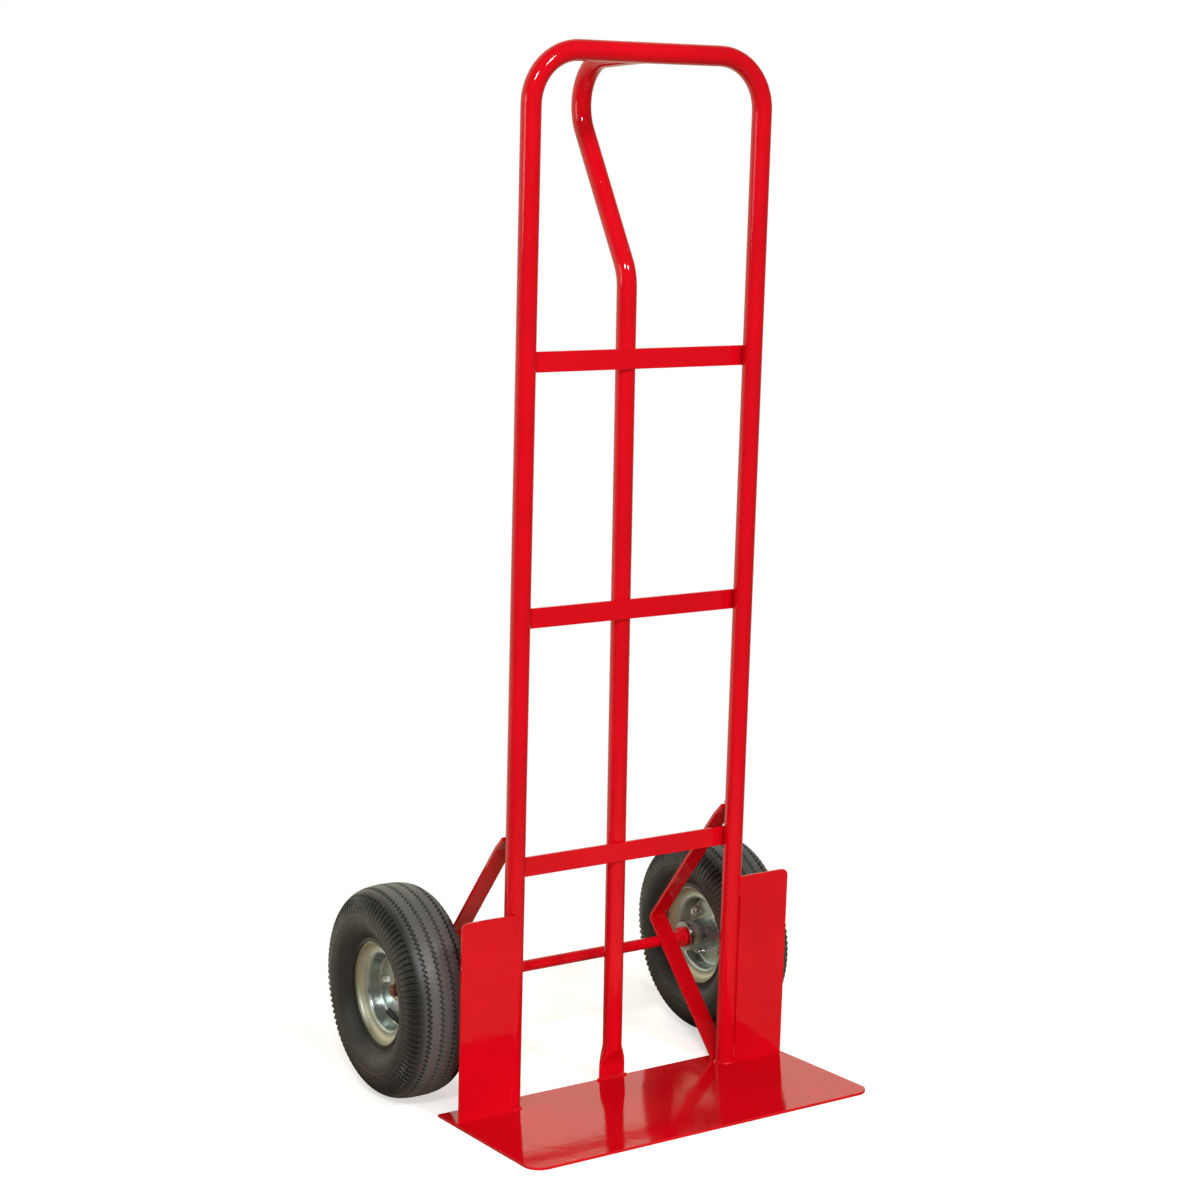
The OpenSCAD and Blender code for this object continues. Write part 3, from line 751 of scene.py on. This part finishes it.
def radius_at(w):
    """Radius of the tread at a distance from the tyre's middle plane, in millimetres."""
    share = abs(w) / (TYRE_HALF_W / MM)
    return MID_R + CROWN_H * max(0, 1 - share ** SECTION_POWER) ** (1 / SECTION_POWER)


def smooth(value):
    value = np.clip(value, 0, 1)
    return value * value * (3 - 2 * value)


def side_stations():
    """Places along one side of the section, from the bead up to the tread, as (width, radius, kind)."""
    stations = [(w, r, "plain") for w, r in BEAD]
    for a in range(165, 60, -15):
        w, r = LIP_CENTRE[0] + LIP_CLEAR * cos(radians(a)), LIP_CENTRE[1] + LIP_CLEAR * sin(radians(a))
        stations.append((w, r, "plain"))
    radii = list(np.arange(WALL_START, 99, 3.0)) + list(np.arange(99, RIB_START, 0.45))
    radii += list(np.arange(RIB_START, 122, 1.3)) + list(np.arange(122, RIB_END + 1, 0.7))
    return stations + [(half_width_at(r), r, "side") for r in radii]


def tread_stations():
    """Places across the tread, as (width, rise, share of the zigzag)."""
    stations = []
    for g in GROOVES:
        if g != GROOVES[2]:
            stations.append((g - BETWEEN, 0, 0))
        for off, rise in ((-1, 0), (-0.72, -1), (0.72, -1), (1, 0)):
            stations.append((g + off * GROOVE_HALF, rise * GROOVE_DEEP, 1))
        if g == GROOVES[1]:
            stations += [(w, rise, 0) for w, rise in MOULD_LINE]
    stations.append((GROOVES[-1] + BETWEEN, 0, 0))
    return stations


def side_depth(radius, angle):
    """How deep the shoulder's ribbing is cut at a radius and angle, less the thin ring's rise on the wall."""
    ring = RING_RISE * smooth(1 - abs(radius - RING_R) / RING_HALF)
    if not RIB_START < radius < RIB_END:
        return -ring * np.ones_like(angle)
    t = (radius - RIB_START) / (RIB_END - RIB_START)
    deep = 0.5 + 4.0 * smooth((t - 0.20) / 0.6)
    deep *= smooth((1 - t) / 0.13) * smooth(t / 0.1)
    wide = 0.20 + 0.13 * smooth((t - 0.2) / 0.6) - 0.10 * smooth((t - 0.85) / 0.15)
    phase = abs((angle * NOTCHES / (2 * pi) + 0.5) % 1 - 0.5)
    return deep * smooth((wide - phase) / 0.14 + 0.5) - ring


def tyre(side):
    """One tyre: smooth bead and wall, ribbed shoulders, four zigzag grooves round the tread, a cavity."""
    angle = np.arange(AROUND) * 2 * pi / AROUND
    saw = abs((angle * ZIGZAGS / (2 * pi)) % 1 * 2 - 1) * 2 - 1
    rings = []

    def put(w, r):
        w, r = w * np.ones(AROUND), r * np.ones(AROUND)
        x = side * WHEEL_X + w * MM
        rings.append(np.column_stack([x, AXLE_Y + r * MM * np.sin(angle), AXLE_Z + r * MM * np.cos(angle)]))

    stations = side_stations()
    for way in (-1, 1):
        part = []
        for i, (w, r, kind) in enumerate(stations):
            if kind == "side":
                ahead, behind = stations[min(i + 1, len(stations) - 1)], stations[i - 1]
                along = unit(np.array([ahead[0] - behind[0], ahead[1] - behind[1]]))
                depth = side_depth(r, angle)
                part.append((w - along[1] * depth, r + along[0] * depth))
            else:
                part.append((w, r))
        if way == -1:
            for w, r in part:
                put(-w, r)
            for w, rise, share in tread_stations():
                moved = w + share * ZIGZAG_REACH * saw
                put(moved, np.array([radius_at(v) for v in moved]) + rise)
        else:
            for w, r in reversed(part):
                put(w, r)
    for a in np.linspace(-60, 240, 21):
        across, lift = cos(radians(a)), sin(radians(a))
        reach = CAVITY_HALF_W * abs(across) ** CAVITY_SHAPE * np.sign(across)
        put(reach, CAVITY_MID_R + CAVITY_H * np.sign(lift) * abs(lift) ** CAVITY_SHAPE)
    shape = Shape()
    shape.sweep(rings, closed_along=True)
    return shape


# ---------------------------------------------------------------- valves

VALVE_TILT = radians(28)
VALVE_ROOT = (9.5, 52)
WHEEL_TURN = {"left": radians(38), "right": radians(95.5)}
STEM_LEN = 17
CAP_LEN = 15


def valve_frame(side_name):
    """Where a valve starts and which way it points, with two directions across it."""
    side = SIDES[side_name]
    around = WHEEL_TURN[side_name] + pi
    out = np.array([0, sin(around), cos(around)])
    away = np.array([side, 0, 0])
    root = np.array([side * WHEEL_X, AXLE_Y, AXLE_Z]) + VALVE_ROOT[1] * MM * out + VALVE_ROOT[0] * MM * away
    along = sin(VALVE_TILT) * away - cos(VALVE_TILT) * out
    u = unit(np.cross(along, (0.1, 0.3, 0.9)))
    return root, along, u, np.cross(along, u)


def revolve(shape, place_at, profile, sides, ridges=0, ridge=0.0):
    """Turns (distance, radius, ridged) points round an axis, with grip ridges where they ask for them."""
    root, along, u, v = place_at
    rings = []
    for distance, radius, ridged in profile:
        ring = []
        for a in np.arange(sides) * 2 * pi / sides:
            r = radius + (ridge * cos(ridges * a) if ridged else 0)
            ring.append(root + MM * (distance * along + r * (cos(a) * u + sin(a) * v)))
        rings.append(ring)
    shape.sweep(rings)


def valve_stem(side_name):
    """A rubber stem with a thicker root and a slight taper."""
    shape = Shape()
    profile = [(0, 3.5, 0), (1.5, 3.5, 0), (4, 3.35, 0)]
    profile += [(STEM_LEN - 4, 3.1, 0), (STEM_LEN - 1.5, 3.0, 0), (STEM_LEN, 2.7, 0)]
    revolve(shape, valve_frame(side_name), profile, 40)
    return shape


def valve_cap(side_name):
    """A moulded cap with grip ridges and a rounded end."""
    shape = Shape()
    start, end = STEM_LEN - 0.5, STEM_LEN + CAP_LEN
    profile = [(start, 3.4, 0), (start + 0.3, 4.0, 0), (start + 2.2, 4.15, 0), (start + 2.8, 4.05, 1)]
    profile += [(end - 3.0, 4.0, 1), (end - 2.2, 4.0, 0), (end - 0.9, 3.6, 0)]
    profile += [(end - 0.25, 2.8, 0), (end, 1.6, 0)]
    revolve(shape, valve_frame(side_name), profile, 96, 16, 0.17)
    return shape


# ---------------------------------------------------------------- the scene

def soften_edges(node_name, width):
    """Rounds the sharp edges of a CAD node a little, with modifiers only."""
    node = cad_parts[node_name]
    weld = node.modifiers.new("weld", "WELD")
    weld.merge_threshold = 0.00002
    bevel = node.modifiers.new("bevel", "BEVEL")
    bevel.width = width
    bevel.segments = 2
    bevel.limit_method = "ANGLE"
    bevel.angle_limit = radians(35)
    bevel.harden_normals = True


def dress(names, material):
    """Gives CAD nodes their material."""
    for name in names:
        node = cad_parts[name]
        node.data.materials.clear()
        node.data.materials.append(material)


def both(*names):
    """The left and the right node of each name."""
    return [f"{name}_{side}" for name in names for side in SIDES]


def make_floor(material):
    """A square sheet on the floor."""
    size = FLOOR_FADE_END
    corners = [(-size, -size, 0), (size, -size, 0), (size, size, 0), (-size, size, 0)]
    mesh = bpy.data.meshes.new("floor")
    mesh.from_pydata(corners, [], [(0, 1, 2, 3)])
    mesh.materials.append(material)
    floor = bpy.data.objects.new("floor", mesh)
    bpy.context.scene.collection.objects.link(floor)


make_camera()
make_world()
area_light("key_left", (-2.4, -3.5, 3.4), MIDDLE, 0.7, 84)
area_light("key_right", (0.2, -4.1, 3.2), MIDDLE, 0.7, 76)
area_light("side", (-4.2, 0.2, 1.6), MIDDLE, 1.4, 18)
area_light("low_front", (-0.9, -2.6, 0.8), (0, 0, 0.1), 0.8, 36, (1, 0.90, 0.78), False)
bpy.context.scene.view_settings.view_transform = "Standard"
make_floor(floor_finish())

paint = red_paint()
chipped = chipped_paint()
axle_paint = axle_finish()
bright_zinc = zinc_plate("bright_zinc", (0.66, 0.71, 0.73), (0.52, 0.57, 0.60), 0.20, 0.34)
fastener_zinc = zinc_plate("fastener_zinc", (0.74, 0.75, 0.72), (0.66, 0.64, 0.52), 0.20, 0.32)
ground_steel = zinc_plate("ground_steel", (0.62, 0.62, 0.62), (0.50, 0.50, 0.52), 0.18, 0.30)
lip_zinc = rim_zinc()
tyre_rubber = tyre_finish()
tube_rubber = rubber("tube_rubber", (0.018, 0.018, 0.018), (0.035, 0.034, 0.032), 0.55, 0.70, 0.30)
cap_plastic = rubber("cap_plastic", (0.022, 0.021, 0.021), (0.040, 0.038, 0.036), 0.38, 0.50, 0.25)

crossbars = ["crossbar_lower", "crossbar_middle", "crossbar_upper"]
dress(["frame_hoop", "toe_plate", "axle_collars"] + crossbars + both("brace"), paint)
dress(both("wing"), chipped)
dress(["axle"], axle_paint)
dress(both("rim_outer", "rim_inner"), lip_zinc)
dress(both("hub"), bright_zinc)
dress(both("rim_bolts", "rim_washers", "rim_nuts") + ["retaining_washers", "split_pins"], fastener_zinc)
dress(both("bearing_inner_rings", "bearing_outer_rings", "bearing_balls"), ground_steel)
dress(both("bearing_seals", "inner_tube", "valve_stem"), tube_rubber)
dress(both("valve_cap"), cap_plastic)
dress(both("tyre"), tyre_rubber)
dress(["centre_tube"], paint)

EDGES = {
    0.9: ["toe_plate", "wing_left", "wing_right"],
    0.6: crossbars + both("brace") + ["axle_collars"],
    0.4: both("hub", "rim_nuts", "rim_bolts") + ["retaining_washers"],
}
for width, names in EDGES.items():
    for name in names:
        soften_edges(name, width * MM)

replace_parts(centre_tube().piece("centre_tube_shaped", paint, "frame", "red_paint"), "centre_tube")
weld_handle().piece("welds_handle", paint, "frame", "red_paint", 80)
weld_crossbars().piece("welds_crossbars", paint, "frame", "red_paint", 80)
weld_braces().piece("welds_braces", paint, "frame", "red_paint", 80)
weld_feet().piece("welds_feet", paint, "frame", "red_paint", 80)
weld_wings().piece("welds_wings", paint, "frame", "red_paint", 80)
weld_collars().piece("welds_collars", paint, "frame", "red_paint", 80)
for name, side in SIDES.items():
    body = f"{name}_wheel"
    weld_hub(side).piece(f"weld_hub_{name}", bright_zinc, body, "zinc_rim", 80)
    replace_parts(tyre(side).piece(f"tyre_moulded_{name}", tyre_rubber, body, "tyre_rubber"), f"tyre_{name}")
    stem = valve_stem(name).piece(f"valve_stem_{name}_shaped", tube_rubber, body, "black_rubber")
    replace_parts(stem, f"valve_stem_{name}")
    cap = valve_cap(name).piece(f"valve_cap_{name}_ridged", cap_plastic, body, "black_plastic")
    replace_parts(cap, f"valve_cap_{name}")
